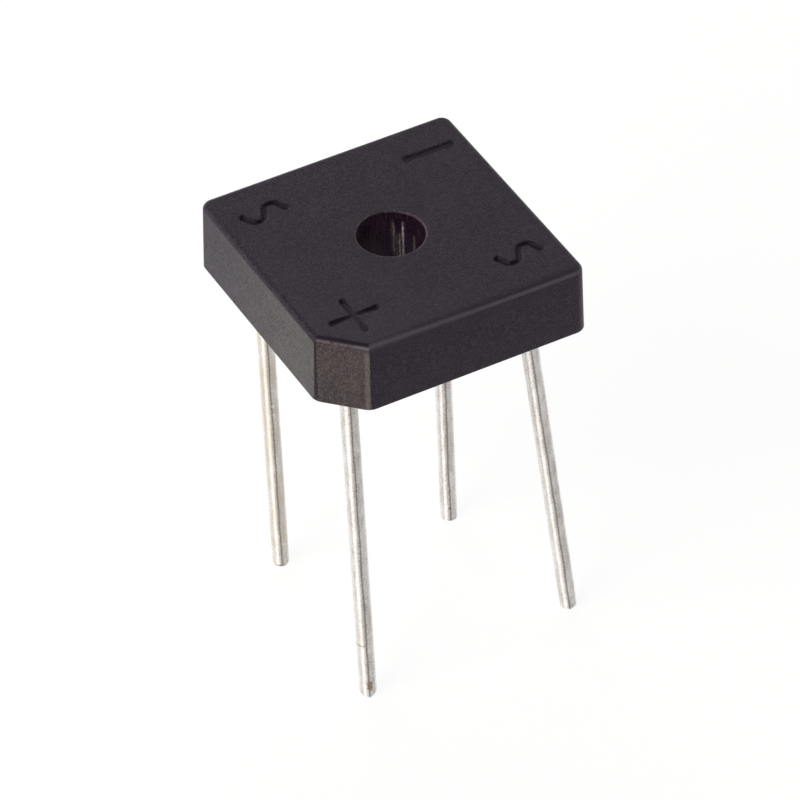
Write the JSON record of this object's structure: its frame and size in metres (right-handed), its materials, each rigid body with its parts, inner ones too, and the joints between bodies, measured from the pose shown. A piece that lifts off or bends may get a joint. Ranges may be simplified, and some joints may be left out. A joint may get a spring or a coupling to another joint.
{
  "type": "bridge rectifier",
  "caption": "Square black moulded bridge rectifier with a chamfered plus corner, a screw hole through its middle and round tinned wire leads.",
  "frame": {"origin": "on the screw hole's axis, in the plane of the case's open rim", "axes": "+Z from the leads to the top face; X and Y along the case's sides, with the chamfered plus corner towards -X -Y"},
  "size_m": [0.0157, 0.0152, 0.026],
  "materials": {
    "case_moulding": "matte",
    "epoxy_fill": "satin",
    "tinned_wire": "satin",
    "copper_strip": "satin",
    "silicon": "gloss",
    "solder": "satin"
  },
  "bodies": {
    "root": {"case_shell": "case_moulding", "potting_fill": "epoxy_fill", "lead_negative": "tinned_wire", "lead_ac_a": "tinned_wire", "lead_positive": "tinned_wire", "lead_ac_b": "tinned_wire", "strip_negative": "copper_strip", "strip_ac_a": "copper_strip", "strip_positive": "copper_strip", "strip_ac_b": "copper_strip", "joint_negative": "solder", "joint_ac_a": "solder", "joint_positive": "solder", "joint_ac_b": "solder", "die_1": "silicon", "die_2": "silicon", "die_3": "silicon", "die_4": "silicon", "solder_lower_1": "solder", "solder_lower_2": "solder", "solder_lower_3": "solder", "solder_lower_4": "solder", "solder_upper_1": "solder", "solder_upper_2": "solder", "solder_upper_3": "solder", "solder_upper_4": "solder"}
  },
  "joints": []
}
